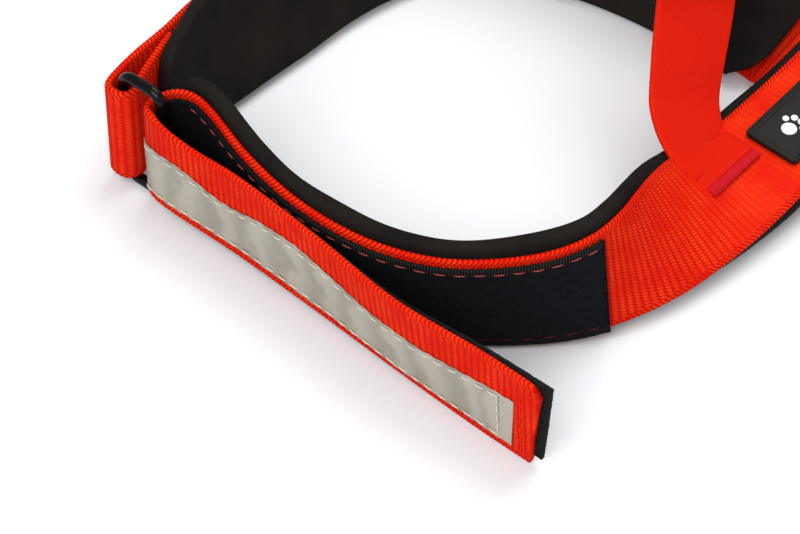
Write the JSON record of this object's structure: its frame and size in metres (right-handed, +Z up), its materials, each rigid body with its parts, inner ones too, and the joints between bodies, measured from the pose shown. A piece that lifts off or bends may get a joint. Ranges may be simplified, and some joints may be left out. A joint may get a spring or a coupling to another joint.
{
  "type": "head halter",
  "caption": "Padded neck band standing on edge, closed by a hook-and-loop strap through a wire ring, with a nose strap arch, label and leash ring.",
  "frame": {"origin": "centre of the bounding box on the floor under the band", "axes": "+X from the closure ring end to the throat end, +Y to the far side of the neck loop, +Z up"},
  "size_m": [0.1903, 0.1704, 0.0874],
  "materials": {
    "webbing": "ribbed woven nylon",
    "nose_webbing": "smooth woven nylon",
    "neoprene": "matt foam rubber",
    "hook_tape": "hooked pile",
    "loop_tape": "brushed loop pile",
    "reflective": "satin reflective cloth",
    "white_thread": "twisted thread",
    "red_thread": "twisted thread",
    "dark_thread": "twisted thread",
    "black_wire": "gloss black",
    "steel": "polished",
    "label_rubber": "soft moulded rubber",
    "white_rubber": "soft moulded rubber",
    "moulded_plastic": "moulded black"
  },
  "bodies": {
    "neck_band": {"front_web": "webbing", "front_pad": "neoprene", "back_web": "webbing", "back_pad": "neoprene", "strap_fold": "webbing", "tape_fold": "reflective", "loop_strip": "loop_tape", "loop_stitching": "red_thread", "ring_loop_tack": "red_thread", "label": "label_rubber", "label_motif": "white_rubber", "label_stitching": "dark_thread", "nose_strap_front": "nose_webbing", "nose_strap_back": "nose_webbing", "nose_front_tack": "red_thread", "nose_back_tack": "red_thread", "leash_tab": "nose_webbing", "leash_tab_tack": "red_thread"},
    "ring": {"closure_ring": "black_wire"},
    "closure": {"closure_strap": "webbing", "hook_strip": "hook_tape", "reflective_tape": "reflective", "tape_stitching": "white_thread", "strap_end_stitching": "red_thread"},
    "slider": {"nose_slider": "moulded_plastic"},
    "leash": {"leash_ring": "steel"}
  },
  "joints": [
    {"name": "ring_pivot", "type": "hinge", "parent": "neck_band", "child": "ring", "pos_m": [-0.0915, 0.0027, 0.0159], "axis": [0, 0, 1], "range_deg": [-4, 4]},
    {"name": "strap_swing", "type": "hinge", "parent": "neck_band", "child": "closure", "pos_m": [-0.0831, -0.0044, 0.0159], "axis": [0, 0, 1], "range_deg": [-80, 0], "deforming": ["strap_fold", "tape_fold"]},
    {"name": "leash_swing", "type": "hinge", "parent": "neck_band", "child": "leash", "pos_m": [0.07725, 0.03829, 0.0101], "axis": [0.7828, -0.6222, 0], "range_deg": [0, 110]},
    {"name": "slider_slide", "type": "slide", "parent": "neck_band", "child": "slider", "axis": [0.0909, 0.6548, 0.7503], "range_m": [-0.004, 0.004]}
  ]
}
